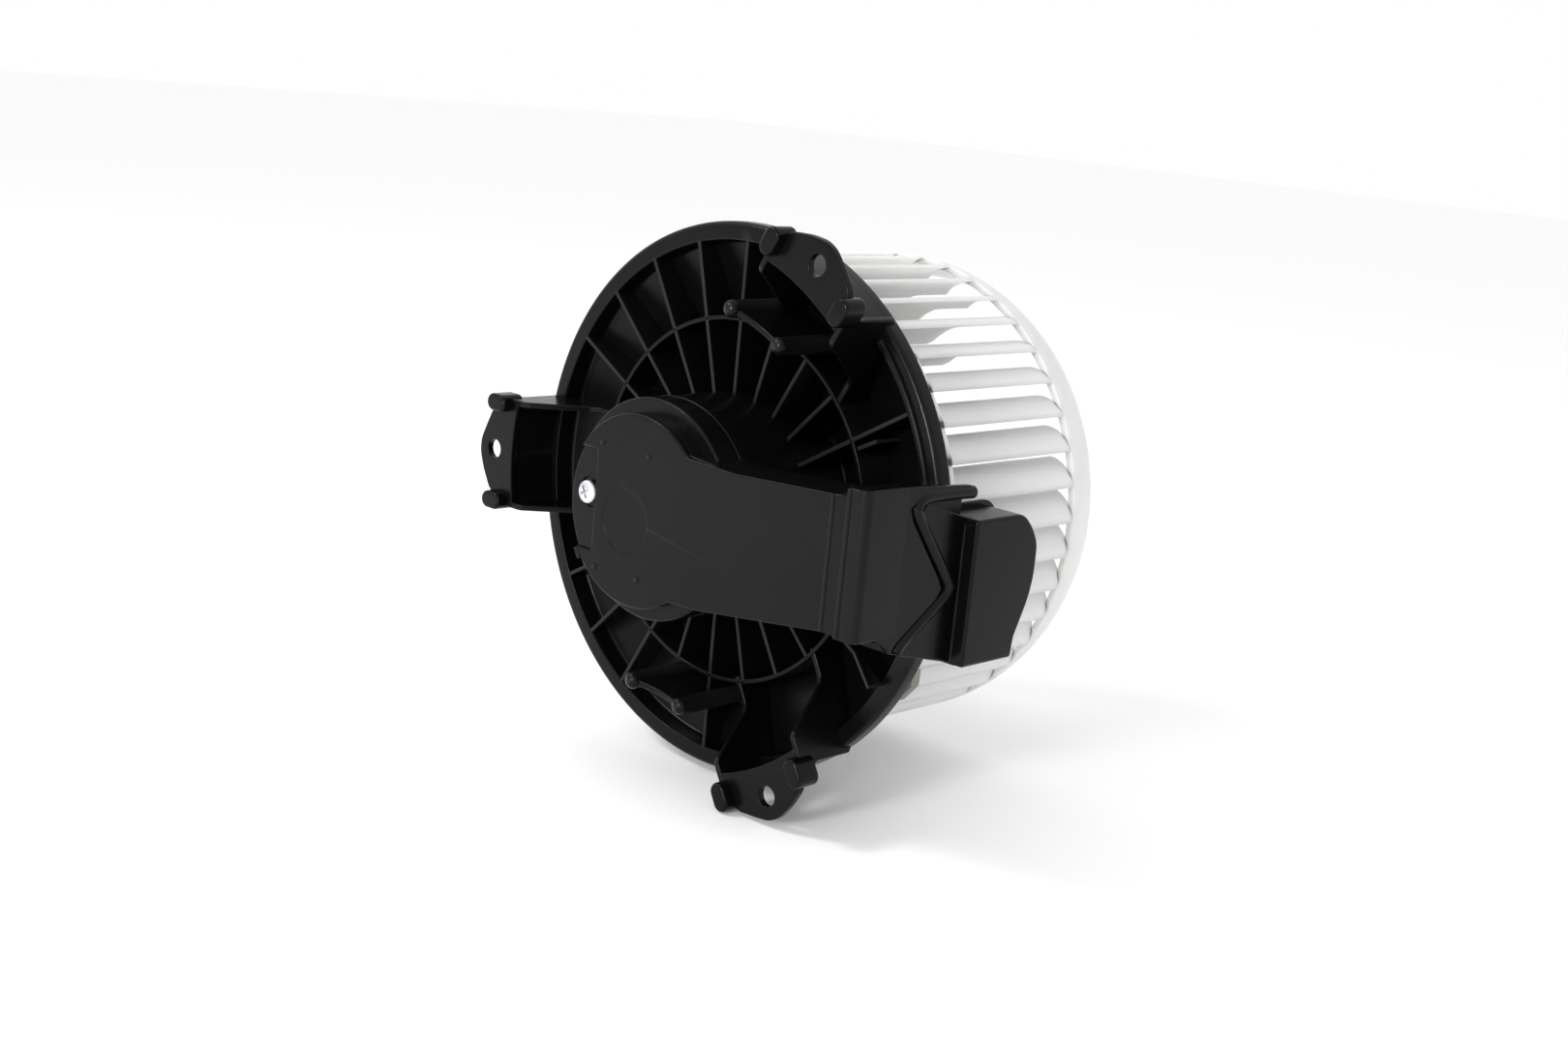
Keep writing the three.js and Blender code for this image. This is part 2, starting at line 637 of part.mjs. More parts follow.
function brushHolder(side) {
  const wide = BRUSH.half + 0.9;
  const slide = BRUSH.half + GAP;
  const [z0, z1] = [11.6, 24.6];
  const [y0, y1] = [BRUSH.y - wide + GAP, BRUSH.y + wide];
  const box = block(-wide, wide, y0, y1, z0, z1);
  const way = block(-slide, slide, BRUSH.y - slide + 0.25, BRUSH.y + slide, z0 - 1, z1 - 0.8);
  const body = box.subtract(way);
  return side > 0 ? body : body.rotate([0, 180, 0]);
}

function brush(side) {
  const low = COMMUTATOR.radius + GAP;
  const front = BRUSH.y - BRUSH.half + GAP;
  const back = BRUSH.y + BRUSH.half;
  const body = block(-BRUSH.half, BRUSH.half, front, back, low, low + BRUSH.long);
  return side > 0 ? body : body.rotate([0, 180, 0]);
}

function brushSpring(side) {
  const low = COMMUTATOR.radius + 2 * GAP + BRUSH.long;
  const rings = [];
  const turns = 3;
  const pitch = (23.6 - low) / turns;
  for (let i = 0; i < turns; i += 1) {
    const z = low + (i + 0.5) * pitch;
    const coil = new THREE.TorusGeometry(1.7, 0.4, 4, 8).translate(0, BRUSH.y, z);
    rings.push(solid(coil));
  }
  const spine = rodZ(0.35, low + 0.3, 23.4, 1.7, BRUSH.y, 8);
  const body = join(spine, ...rings);
  return side > 0 ? body : body.rotate([0, 180, 0]);
}

function cushionRing(y0, y1) {
  return ringY(HOLDER.inner - GAP, MOTOR.canOuter + GAP, y0, y1, 36);
}

// ---------------------------------------------------------------- connector and leads

const CONNECTOR = { x: 55, y0: -18.2, y1: -1, z0: -12, z1: 8, half: 10 };

function connectorHousing() {
  const c = CONNECTOR;
  const body = block(c.x - c.half, c.x + c.half, c.y0, c.y1, c.z0, c.z1);
  const socket = block(c.x - c.half + 1.6, c.x + c.half - 1.6, c.y0 + 1.6, c.y1 - 1.6, c.z0 - 1, c.z1 - 6);
  const holes = [-4, 4].map((dx) => block(c.x + dx - 1.9, c.x + dx + 1.9, -9.2, -7.4, c.z0, c.z1 + 1));
  return cut(body, socket, ...holes);
}

function terminal(dx) {
  const c = CONNECTOR;
  return block(c.x + dx - 1.5, c.x + dx + 1.5, -8.7, -7.9, c.z0 + 4, c.z1 + 3);
}

// From the terminal through the notch in the holder's wall to the motor's end plate.
function lead(dx) {
  const z0 = CONNECTOR.z1 + 3 + GAP;
  const side = dx > 0 ? 1.8 : -1.2;
  const route = new THREE.CatmullRomCurve3([
    new THREE.Vector3(CONNECTOR.x + dx, -8.3, z0),
    new THREE.Vector3(CONNECTOR.x + dx, -8.3, z0 + 2.5 + side),
    new THREE.Vector3(CONNECTOR.x - 12, -14, z0 + 2.5 + side),
    new THREE.Vector3(LEAD_NOTCH.x + 2, LEAD_NOTCH.y, LEAD_NOTCH.z + side),
    new THREE.Vector3(LEAD_NOTCH.x - 3, LEAD_NOTCH.y - 1, LEAD_NOTCH.z + side),
    new THREE.Vector3(22, -24.4, LEAD_NOTCH.z + side),
  ]);
  const section = new THREE.Shape();
  section.absarc(0, 0, 1, 0, 2 * Math.PI, false);
  return solid(new THREE.ExtrudeGeometry(section, {
    extrudePath: route, steps: 18, curveSegments: 4, bevelEnabled: false,
  }));
}

// ---------------------------------------------------------------- the object

addNode('motor_flange', motorFlange(), 'blackPlastic');
addNode('motor_cover', motorCover(), 'blackPlastic');
addNode('cooling_duct', coolingDuct(), 'blackPlastic');
addNode('cover_screw', panScrew(-21.9, 1.8, CAP.front + 1.2 - 2.2 - GAP, 3.8, 13), 'zincSteel');

addNode('fan_wheel', join(bladeBase(), blades(), shroudRing()), 'whitePlastic');
addNode('wheel_hub', wheelHub(), 'whitePlastic');
addNode('balance_clip', balanceClip(), 'zincSteel');
addNode('wheel_nut', cut(
  solid(new THREE.CylinderGeometry(6.5, 6.5, 3.4, 6).translate(0, WHEEL.boreTop + GAP + 1.7, 0)),
  rodY(SHAFT.radius + GAP, WHEEL.boreTop, WHEEL.boreTop + 6, 0, 0, 24),
), 'zincSteel');

addNode('motor_shaft', shaft(), 'steel');
addNode('motor_yoke', motorYoke(), 'zincSteel');
addNode('motor_end_plate', endPlate(), 'zincSteel');
[0, 180].forEach((angle, i) => addNode(`magnet_${i + 1}`, magnet(angle), 'ferrite'));
[90, 270].forEach((angle, i) => addNode(`magnet_spring_${i + 1}`, magnetSpring(angle), 'steel'));
addNode('armature_core', armatureCore(), 'darkSteel');
addNode('armature_winding', armatureWinding(), 'copper');
addNode('commutator', commutator(), 'copper');
addNode('bush_front', bush(MOTOR.canFront - 5.6, MOTOR.canFront - 0.6), 'bronze');
addNode('bush_rear', bush(MOTOR.canBack - 1.4, MOTOR.canBack + 3.6), 'bronze');
const washer = ringY(7, SHAFT.radius + GAP, MOTOR.canBack - 2.4, MOTOR.canBack - 1.7, 24);
addNode('thrust_washer', washer, 'steel');
addNode('brush_plate', brushPlate(), 'phenolic');
[1, -1].forEach((side, i) => {
  addNode(`brush_holder_${i + 1}`, brushHolder(side), 'brass');
  addNode(`brush_${i + 1}`, brush(side), 'carbon');
  addNode(`brush_spring_${i + 1}`, brushSpring(side), 'steel');
});
addNode('cushion_ring_front', cushionRing(-16, -10), 'rubber');
addNode('cushion_ring_rear', cushionRing(12, 18), 'rubber');
motorScrewPlaces().forEach(([x, z], i) => {
  const screw = panScrew(0, 0, -28.6, 3, 9).rotate([180, 0, 0]).translate([x, 0, z]);
  addNode(`motor_screw_${i + 1}`, screw, 'zincSteel');
});
addNode('connector_housing', connectorHousing(), 'blackPlastic');
[-4, 4].forEach((dx, i) => {
  addNode(`terminal_${i + 1}`, terminal(dx), 'brass');
  addNode(`lead_${i + 1}`, lead(dx), 'rubber');
});

export default assembly;
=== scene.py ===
"""The looks of a heater's blower motor: ribbed flange, motor cover, cooling duct and fan wheel.

Lengths in the shape functions are millimetres and become metres in the finished meshes. The
frame is the CAD model's: +Y along the motor's axis towards the wheel, +X along the duct, +Z up.
"""

import json
import math

import bmesh
import bpy
from mathutils import Matrix, Vector


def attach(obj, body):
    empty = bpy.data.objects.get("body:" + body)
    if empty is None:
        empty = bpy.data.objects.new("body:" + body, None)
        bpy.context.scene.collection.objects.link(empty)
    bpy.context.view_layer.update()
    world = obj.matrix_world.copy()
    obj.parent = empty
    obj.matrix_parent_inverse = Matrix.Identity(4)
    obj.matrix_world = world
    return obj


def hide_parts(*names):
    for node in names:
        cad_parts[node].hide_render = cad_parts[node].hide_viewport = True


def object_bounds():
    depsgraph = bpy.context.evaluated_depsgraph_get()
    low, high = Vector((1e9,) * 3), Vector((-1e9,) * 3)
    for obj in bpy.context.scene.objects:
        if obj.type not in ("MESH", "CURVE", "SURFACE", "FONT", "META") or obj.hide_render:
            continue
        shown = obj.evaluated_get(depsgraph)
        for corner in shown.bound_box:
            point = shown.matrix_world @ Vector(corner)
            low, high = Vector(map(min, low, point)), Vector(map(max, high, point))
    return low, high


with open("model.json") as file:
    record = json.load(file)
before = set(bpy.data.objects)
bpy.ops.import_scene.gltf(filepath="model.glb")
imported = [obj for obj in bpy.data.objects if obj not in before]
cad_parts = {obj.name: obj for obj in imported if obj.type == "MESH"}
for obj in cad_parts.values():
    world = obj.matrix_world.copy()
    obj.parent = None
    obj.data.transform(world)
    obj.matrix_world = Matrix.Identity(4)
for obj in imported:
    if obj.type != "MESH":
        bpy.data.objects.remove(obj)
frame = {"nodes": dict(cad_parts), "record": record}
cad_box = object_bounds()

MM = 0.001
SCENE = bpy.context.scene

# ------------------------------------------------------------------ dimensions, in millimetres

RIM_OUTER, RIM_INNER, RIM_BACK = 90.0, 84.0, 6.0
HOLDER_OUTER, HOLDER_INNER, HOLDER_FRONT, HOLDER_BACK = 35.4, 32.8, -24.0, 26.0
FLOOR_RIM_Y, FLOOR_HOLDER_Y = 7.0, 20.0
RIB_THICKNESS, MID_RING = 1.4, 59.3
FULL_RIBS = (30, 90, 105, 120, 135, 150, 210, 225, 240, 270, 330)
DUCT_RIBS = (0, 15, 345)
SHORT_RIBS = (45, 60, 75, 165, 180, 195, 255, 285, 300, 315)

EAR_ANGLES = (180, 60, 300)
EAR_PLATE_Y, EAR_PLATE = -19.0, 2.6
EAR_HALF, EAR_HOLE_AT, EAR_HOLE_RADIUS = 19.0, 95.6, 3.3
EAR_WALL_INNER = 86.3
POST_AT, POST_RADIUS, POST_FRONT = 66.0, 2.9, -19.5
POST_DOME = 0.8 * POST_RADIUS
POST_PAIRS = ((79, 59), (254, 274))

CAP_FRONT, CAP_RADIUS, CAP_STEP_Y = -40.0, 30.6, -33.4
BASE_RADIUS, BASE_BACK = 35.3, -24.3
ARM_BACK, ARM_END = -21.0, 94.4
SCREW = (-21.9, 1.8)
DISH_AT, DISH_RADIUS = (-3.8, -4), 9.8

SCOOP_FRONT, SCOOP_END, SCOOP_TOP, SCOOP_BOTTOM = 4.6, 36.0, 14.6, -30.6
SCOOP_INNER, SCOOP_OUTER = 84.0, 99.6
DUCT_LEFT, DUCT_RIGHT, DUCT_TOP, DUCT_LOW, DUCT_FRONT = 74.0, 92.0, 21.4, -24.6, -20.7
PASSAGE_LOW, PASSAGE_TOP = -24.6, 12.4
WALL = 2.2

BLADES, WHEEL_OUTER, WHEEL_NEAR = 43, 80.2, 17.5
BLADE_INNER, BLADE_INLET, BLADE_THICKNESS = 65.0, 70.5, 1.3
BLADE_BOW, BLADE_CURL, BLADE_PHASE = 8.75, 14.5, -0.25
CUT_BACK_START, CUT_BACK_LENGTH = 52.0, 14.0
RING_Y, RING_END, RING_TUCK, WHEEL_BORE_TOP = 81.0, 99.7, 1.2, 62.0
CLIP_Y, CLIP_BLADE, CLIP_WIDTH, CLIP_INNER, CLIP_METAL = 28.5, -4, 3.8, 74.0, 0.8
CLEARANCE = 0.3
ON_AXIS = 0.001


# ------------------------------------------------------------------ small geometry tools

def polar(radius, degrees):
    angle = math.radians(degrees)
    return radius * math.cos(angle), radius * math.sin(angle)


def rounded(points, radius=1.0, steps=4):
    """A closed outline with its corners rounded. A point may carry a radius of its own."""
    out = []
    count = len(points)
    for i, point in enumerate(points):
        here = Vector(point[:2])
        before = Vector(points[i - 1][:2]) - here
        after = Vector(points[(i + 1) % count][:2]) - here
        own = point[2] if len(point) > 2 else radius
        reach = min(own, 0.45 * before.length, 0.45 * after.length)
        if reach < 1e-4:
            out.append((here.x, here.y))
            continue
        start = here + before.normalized() * reach
        end = here + after.normalized() * reach
        for step in range(steps + 1):
            t = step / steps
            spot = start * (1 - t) ** 2 + here * (2 * t * (1 - t)) + end * t ** 2
            out.append((spot.x, spot.y))
    return out


def circle(x, z, radius, count=48):
    angles = [2 * math.pi * i / count for i in range(count)]
    return [(x + radius * math.cos(angle), z + radius * math.sin(angle)) for angle in angles]


def rectangle(left, right, low, high):
    return [(left, low), (right, low), (right, high), (left, high)]


def arc(radius, start, end, count):
    return [polar(radius, start + (end - start) * i / count) for i in range(count + 1)]


def signed_area(loop):
    return sum(a[0] * b[1] - b[0] * a[1] for a, b in zip(loop, loop[1:] + loop[:1])) / 2


def lathe(profile, segments=160, start=0.0, sweep=360.0):
    """A closed profile of (radius, y) points turned about the motor's axis."""
    mesh = bmesh.new()
    whole = sweep >= 360.0
    count = segments if whole else segments + 1
    rings = []
    for i in range(count):
        angle = math.radians(start + sweep * i / segments)
        c, s = math.cos(angle), math.sin(angle)
        rings.append([mesh.verts.new((r * c, y, r * s)) for r, y in profile])
    for i in range(segments):
        a, b = rings[i], rings[(i + 1) % count]
        for j in range(len(profile)):
            k = (j + 1) % len(profile)
            mesh.faces.new((a[j], a[k], b[k], b[j]))
    if not whole:
        mesh.faces.new(rings[0])
        mesh.faces.new(rings[-1][::-1])
    bmesh.ops.remove_doubles(mesh, verts=mesh.verts, dist=1e-4)
    bmesh.ops.recalc_face_normals(mesh, faces=mesh.faces)
    return mesh


AXES = {
    "y": Matrix(((1, 0, 0, 0), (0, 0, 1, 0), (0, 1, 0, 0), (0, 0, 0, 1))),
    "x": Matrix(((0, 0, 1, 0), (1, 0, 0, 0), (0, 1, 0, 0), (0, 0, 0, 1))),
    "z": Matrix.Identity(4),
}


def plate(outline, low, high, axis="y", bevel=0.35, holes=()):
    """A flat piece with rounded edges: its outline stands across the axis, from low to high."""
    curve = bpy.data.curves.new("outline", "CURVE")
    curve.dimensions = "2D"
    curve.fill_mode = "BOTH"
    curve.extrude = (high - low) / 2 - bevel
    curve.bevel_depth = bevel
    curve.bevel_resolution = 2
    curve.offset = -bevel
    for number, loop in enumerate((outline, *holes)):
        loop = list(loop)
        if (signed_area(loop) < 0) != (number > 0):
            loop.reverse()
        spline = curve.splines.new("POLY")
        spline.points.add(len(loop) - 1)
        for point, (u, v) in zip(spline.points, loop):
            point.co = (u, v, 0, 1)
        spline.use_cyclic_u = True
    holder = bpy.data.objects.new("outline", curve)
    SCENE.collection.objects.link(holder)
    graph = bpy.context.evaluated_depsgraph_get()
    data = bpy.data.meshes.new_from_object(holder.evaluated_get(graph))
    mesh = bmesh.new()
    mesh.from_mesh(data)
    bpy.data.objects.remove(holder)
    bpy.data.curves.remove(curve)
    bpy.data.meshes.remove(data)
    bmesh.ops.remove_doubles(mesh, verts=mesh.verts, dist=1e-3)
    mesh.transform(AXES[axis] @ Matrix.Translation((0, 0, (low + high) / 2)))
    bmesh.ops.recalc_face_normals(mesh, faces=mesh.faces)
    return mesh


def turn(mesh, degrees):
    """Turns a mesh about the motor's axis, from +X towards +Z."""
    mesh.transform(Matrix.Rotation(math.radians(-degrees), 4, "Y"))
    return mesh


def move(mesh, x=0.0, y=0.0, z=0.0):
    mesh.transform(Matrix.Translation((x, y, z)))
    return mesh


def joined(meshes):
    whole = bmesh.new()
    for part in meshes:
        data = bpy.data.meshes.new("part")
        part.to_mesh(data)
        part.free()
        whole.from_mesh(data)
        bpy.data.meshes.remove(data)
    return whole


def carve(mesh, *tools):
    """The mesh with the tools cut away."""
    objects = []
    for part in (mesh, *tools):
        data = bpy.data.meshes.new("carve")
        part.to_mesh(data)
        part.free()
        holder = bpy.data.objects.new("carve", data)
        SCENE.collection.objects.link(holder)
        objects.append(holder)
    body = objects[0]
    for tool in objects[1:]:
        modifier = body.modifiers.new("cut", "BOOLEAN")
        modifier.operation = "DIFFERENCE"
        modifier.solver = "EXACT"
        modifier.object = tool
    graph = bpy.context.evaluated_depsgraph_get()
    data = bpy.data.meshes.new_from_object(body.evaluated_get(graph))
    result = bmesh.new()
    result.from_mesh(data)
    for holder in objects:
        old = holder.data
        bpy.data.objects.remove(holder)
        bpy.data.meshes.remove(old)
    bpy.data.meshes.remove(data)
    return result


def slab(x0, x1, y0, y1, z0, z1):
    mesh = bmesh.new()
    bmesh.ops.create_cube(mesh, size=1.0)
    size = Matrix.Diagonal((x1 - x0, y1 - y0, z1 - z0, 1))
    mesh.transform(Matrix.Translation(((x0 + x1) / 2, (y0 + y1) / 2, (z0 + z1) / 2)) @ size)
    return mesh


def bead(points, radius, closed=False):
    """A round bead along a smooth path of 3-D points."""
    curve = bpy.data.curves.new("bead", "CURVE")
    curve.dimensions = "3D"
    curve.bevel_depth = radius
    curve.bevel_resolution = 4
    curve.use_fill_caps = True
    spline = curve.splines.new("POLY")
    spline.points.add(len(points) - 1)
    for point, spot in zip(spline.points, points):
        point.co = (*spot, 1)
    spline.use_cyclic_u = closed
    holder = bpy.data.objects.new("bead", curve)
    SCENE.collection.objects.link(holder)
    graph = bpy.context.evaluated_depsgraph_get()
    data = bpy.data.meshes.new_from_object(holder.evaluated_get(graph))
    mesh = bmesh.new()
    mesh.from_mesh(data)
    bpy.data.objects.remove(holder)
    bpy.data.curves.remove(curve)
    bpy.data.meshes.remove(data)
    bmesh.ops.remove_doubles(mesh, verts=mesh.verts, dist=1e-4)
    return mesh


def smooth_path(points, steps=6):
    """A Catmull-Rom curve through the points."""
    ends = [points[0], *points, points[-1]]
    spots = [Vector(p) for p in ends]
    out = []
    for i in range(1, len(spots) - 2):
        a, b, c, d = spots[i - 1:i + 3]
        for step in range(steps):
            t = step / steps
            out.append(0.5 * (2 * b + (c - a) * t + (2 * a - 5 * b + 4 * c - d) * t ** 2
                              + (3 * b - a - 3 * c + d) * t ** 3))
    out.append(spots[-2])
    return out


def piece(name, mesh, material, body, nodes=(), sharp=35.0):
    """Makes the finished object, in metres, and ties it to the CAD model."""
    mesh.transform(Matrix.Scale(MM, 4))
    data = bpy.data.meshes.new(name)
    mesh.to_mesh(data)
    mesh.free()
    data.polygons.foreach_set("use_smooth", [True] * len(data.polygons))
    data.set_sharp_from_angle(angle=math.radians(sharp))
    data.materials.append(material)
    made = bpy.data.objects.new(name, data)
    SCENE.collection.objects.link(made)
    normals = made.modifiers.new("normals", "WEIGHTED_NORMAL")
    normals.keep_sharp = True
    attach(made, body)
    if nodes:
        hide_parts(*nodes)
    return made


# ------------------------------------------------------------------ materials

class Nodes:
    """A material's node tree, with short names for what is used here."""

    def __init__(self, name):
        self.material = bpy.data.materials.new(name)
        self.material.use_nodes = True
        self.tree = self.material.node_tree
        self.shader = self.tree.nodes["Principled BSDF"]
        self.place = self.add("ShaderNodeTexCoord").outputs["Object"]

    def add(self, kind, **settings):
        node = self.tree.nodes.new(kind)
        for key, value in settings.items():
            if hasattr(node, key):
                setattr(node, key, value)
            else:
                node.inputs[key].default_value = value
        return node

    def link(self, source, target):
        self.tree.links.new(source, target)

    def noise(self, scale, detail=4.0, rough=0.55, stretch=None):
        node = self.add("ShaderNodeTexNoise", Scale=scale, Detail=detail, Roughness=rough)
        source = self.place
        if stretch:
            mapping = self.add("ShaderNodeMapping")
            mapping.inputs["Scale"].default_value = stretch
            self.link(self.place, mapping.inputs["Vector"])
            source = mapping.outputs["Vector"]
        self.link(source, node.inputs["Vector"])
        return node.outputs["Fac"]

    def spread(self, source, low, high, from_low=0.3, from_high=0.7):
        node = self.add("ShaderNodeMapRange")
        limits = {"From Min": from_low, "From Max": from_high, "To Min": low, "To Max": high}
        for key, value in limits.items():
            node.inputs[key].default_value = value
        self.link(source, node.inputs["Value"])
        return node.outputs["Result"]

    def mix(self, factor, first, second):
        node = self.add("ShaderNodeMix", data_type="RGBA")
        self.link(factor, node.inputs[0])
        for socket, value in ((node.inputs[6], first), (node.inputs[7], second)):
            if isinstance(value, tuple):
                socket.default_value = (*value, 1)
            else:
                self.link(value, socket)
        return node.outputs[2]

    def painted_edge_highlight(self, low=0.52, high=0.62):
        """A painted highlight mask: about 1 on outer edges and 0 elsewhere."""
        pointiness = self.add("ShaderNodeNewGeometry").outputs["Pointiness"]
        return self.spread(pointiness, 0.0, 1.0, low, high)

    def bump(self, height, strength, distance, onto=None):
        node = self.add("ShaderNodeBump", Strength=strength, Distance=distance)
        self.link(height, node.inputs["Height"])
        if onto:
            self.link(onto, node.inputs["Normal"])
        return node.outputs["Normal"]

    def set(self, **values):
        for key, value in values.items():
            socket = self.shader.inputs[key.replace("_", " ")]
            if hasattr(value, "is_linked"):
                self.link(value, socket)
            else:
                socket.default_value = value


def moulded_black():
    n = Nodes("moulded_black")
    broad = n.noise(28, 3)
    colour = n.mix(n.spread(broad, 0, 1), (0.0018, 0.0018, 0.002), (0.0032, 0.0032, 0.0035))
    dust = n.spread(n.noise(900, 2, 0.7), 0, 0.35, 0.62, 0.8)
    colour = n.mix(dust, colour, (0.007, 0.007, 0.0074))
    # Painted highlight: the base colour is lightened on the outer edges to stand in for the glints of light
    # along them.
    edges = n.spread(n.painted_edge_highlight(), 0, 0.5, 0, 1)
    colour = n.mix(edges, colour, (0.02, 0.02, 0.021))
    grain = n.bump(n.noise(2600, 3, 0.6), 0.12, 0.0004)
    flow = n.bump(n.noise(55, 2, 0.5), 0.1, 0.0012, grain)
    n.set(Base_Color=colour, Roughness=n.spread(n.noise(160, 4), 0.17, 0.27), Normal=flow)
    n.shader.inputs["Specular IOR Level"].default_value = 0.12
    return n.material


def milky_white():
    n = Nodes("milky_white")
    colour = n.mix(n.spread(n.noise(22, 3), 0, 1), (0.64, 0.642, 0.638), (0.69, 0.69, 0.682))
    specks = n.spread(n.noise(1200, 2, 0.6), 0, 0.25, 0.68, 0.8)
    colour = n.mix(specks, colour, (0.6, 0.6, 0.585))
    grain = n.bump(n.noise(1900, 3, 0.6), 0.08, 0.0003)
    n.set(Base_Color=colour, Roughness=n.spread(n.noise(140, 4), 0.36, 0.5), Normal=grain)
    n.shader.inputs["Subsurface Weight"].default_value = 1.0
    n.shader.inputs["Subsurface Radius"].default_value = (1.0, 1.0, 0.95)
    n.shader.inputs["Subsurface Scale"].default_value = 0.008
    return n.material


def plain_metal(name, dark, light, low, high, grain_scale=700, stretch=None, metallic=1.0, depth=0.0002):
    n = Nodes(name)
    colour = n.mix(n.spread(n.noise(60, 4), 0, 1), dark, light)
    grain = n.noise(grain_scale, 4, 0.6, stretch)
    n.set(Base_Color=colour, Roughness=n.spread(n.noise(260, 4), low, high))
    n.set(Normal=n.bump(grain, 0.15, depth))
    n.shader.inputs["Metallic"].default_value = metallic
    return n.material


def matt_solid(name, dark, light, low, high, grain_scale=1400, depth=0.0003):
    return plain_metal(name, dark, light, low, high, grain_scale, None, 0.0, depth)


BLACK = moulded_black()
WHITE = milky_white()
ZINC = plain_metal("zinc_plate", (0.62, 0.63, 0.66), (0.78, 0.79, 0.81), 0.22, 0.4)
SPRING_STEEL = plain_metal("spring_steel", (0.2, 0.19, 0.17), (0.32, 0.3, 0.27), 0.3, 0.45)
STEEL = plain_metal("ground_steel", (0.48, 0.49, 0.5), (0.6, 0.61, 0.62), 0.2, 0.38, 900, (1, 12, 1))
DARK_STEEL = plain_metal("core_steel", (0.17, 0.17, 0.18), (0.28, 0.28, 0.29), 0.4, 0.6, 500, (1, 30, 1))
FERRITE = matt_solid("ferrite", (0.045, 0.045, 0.048), (0.08, 0.08, 0.085), 0.6, 0.85)
COPPER = plain_metal("copper_wire", (0.52, 0.2, 0.09), (0.72, 0.33, 0.17), 0.28, 0.45, 420, (1, 1, 9))
BRONZE = plain_metal("sintered_bronze", (0.33, 0.2, 0.09), (0.46, 0.3, 0.15), 0.45, 0.65)
BRASS = plain_metal("pressed_brass", (0.6, 0.43, 0.14), (0.76, 0.57, 0.22), 0.25, 0.42)
CARBON = matt_solid("carbon", (0.02, 0.02, 0.022), (0.045, 0.045, 0.05), 0.5, 0.75)
RUBBER = matt_solid("rubber", (0.012, 0.012, 0.012), (0.024, 0.024, 0.024), 0.65, 0.85)
PHENOLIC = matt_solid("phenolic", (0.12, 0.06, 0.03), (0.2, 0.11, 0.06), 0.45, 0.65)

SLOT_MATERIALS = {
    "black_plastic": BLACK, "white_plastic": WHITE, "zinc_steel": ZINC, "steel": STEEL,
    "dark_steel": DARK_STEEL, "ferrite": FERRITE, "copper": COPPER, "bronze": BRONZE,
    "brass": BRASS, "carbon": CARBON, "black_rubber": RUBBER, "phenolic": PHENOLIC,
}


def dress_cad_nodes():
    """Every CAD node that stays in view gets the procedural material of its slot."""
    for entry in frame["record"]["subparts"]:
        node = frame["nodes"][entry["node"]]
        material = SLOT_MATERIALS[entry["material_slot"]]
        if not node.material_slots:
            node.data.materials.append(material)
        for material_slot in node.material_slots:
            material_slot.material = material


# ------------------------------------------------------------------ flange

def floor_y(radius):
    share = (RIM_INNER - radius) / (RIM_INNER - HOLDER_OUTER)
    return FLOOR_RIM_Y + share * (FLOOR_HOLDER_Y - FLOOR_RIM_Y)


def flange_dish():
    profile = rounded([
        (HOLDER_OUTER, HOLDER_FRONT, 0.5), (HOLDER_OUTER, FLOOR_HOLDER_Y, 1.6),
        (RIM_INNER, FLOOR_RIM_Y, 1.2), (RIM_INNER, 0, 0.6), (RIM_OUTER, 0, 1.8),
        (RIM_OUTER, RIM_BACK, 0.8), (RIM_INNER + WALL, RIM_BACK, 0.4), (RIM_INNER + WALL, 9.5, 0.8),
        (HOLDER_OUTER + WALL, FLOOR_HOLDER_Y + WALL, 1.0), (HOLDER_OUTER + WALL, HOLDER_BACK, 1.5),
        (17, HOLDER_BACK, 0.5), (17, HOLDER_BACK - WALL, 0.5),
        (HOLDER_INNER, HOLDER_BACK - WALL, 0.8), (HOLDER_INNER, HOLDER_FRONT, 0.5),
    ], steps=3)
    return carve(
        lathe(profile, 180),
        slab(DUCT_LEFT - 0.3, 120, -30, 60, SCOOP_BOTTOM - 0.3, DUCT_TOP + 0.3),
        slab(28, 40, -30, HOLDER_FRONT + 4, 6.4, 14.8),
    )


def rib(degrees, outer):
    start = HOLDER_OUTER - 1
    outline = [(start, 0), (outer, 0), (outer, floor_y(outer) + 1), (start, floor_y(start) + 1)]
    half = RIB_THICKNESS / 2
    return turn(plate(outline, -half, half, "z", 0.3), degrees)


def mid_ring():
    half = RIB_THICKNESS / 2
    back = floor_y(MID_RING) + 1
    inner, outer = MID_RING - half, MID_RING + half
    profile = rounded([(inner, 0, 0.4), (outer, 0, 0.4), (outer, back), (inner, back)], 0.1)
    return lathe(profile, 150)


def post(degrees):
    """A round post with a domed front."""
    angles = [step * math.pi / 12 for step in range(1, 7)]
    dome = [(POST_RADIUS * math.sin(t), POST_FRONT + POST_DOME * (1 - math.cos(t))) for t in angles]
    back = floor_y(POST_AT) + 1
    profile = [(ON_AXIS, POST_FRONT), *dome, (POST_RADIUS + 0.2, back), (ON_AXIS, back)]
    x, z = polar(POST_AT, degrees)
    return move(lathe(profile, 28), x, 0, z)


def post_pair(first, second):
    half_angle = abs(first - second) / 2
    across, reach = polar(POST_AT, half_angle)
    edge = [(POST_FRONT + 3.2 - 1.6 * (t / 6) ** 2, reach * t / 6) for t in range(-6, 7)]
    outline = [*edge, (floor_y(POST_AT) + 1, reach), (floor_y(POST_AT) + 1, -reach)]
    web = plate(outline, across - 1, across + 1, "x", 0.4)
    return [post(first), post(second), turn(web, (first + second) / 2)]


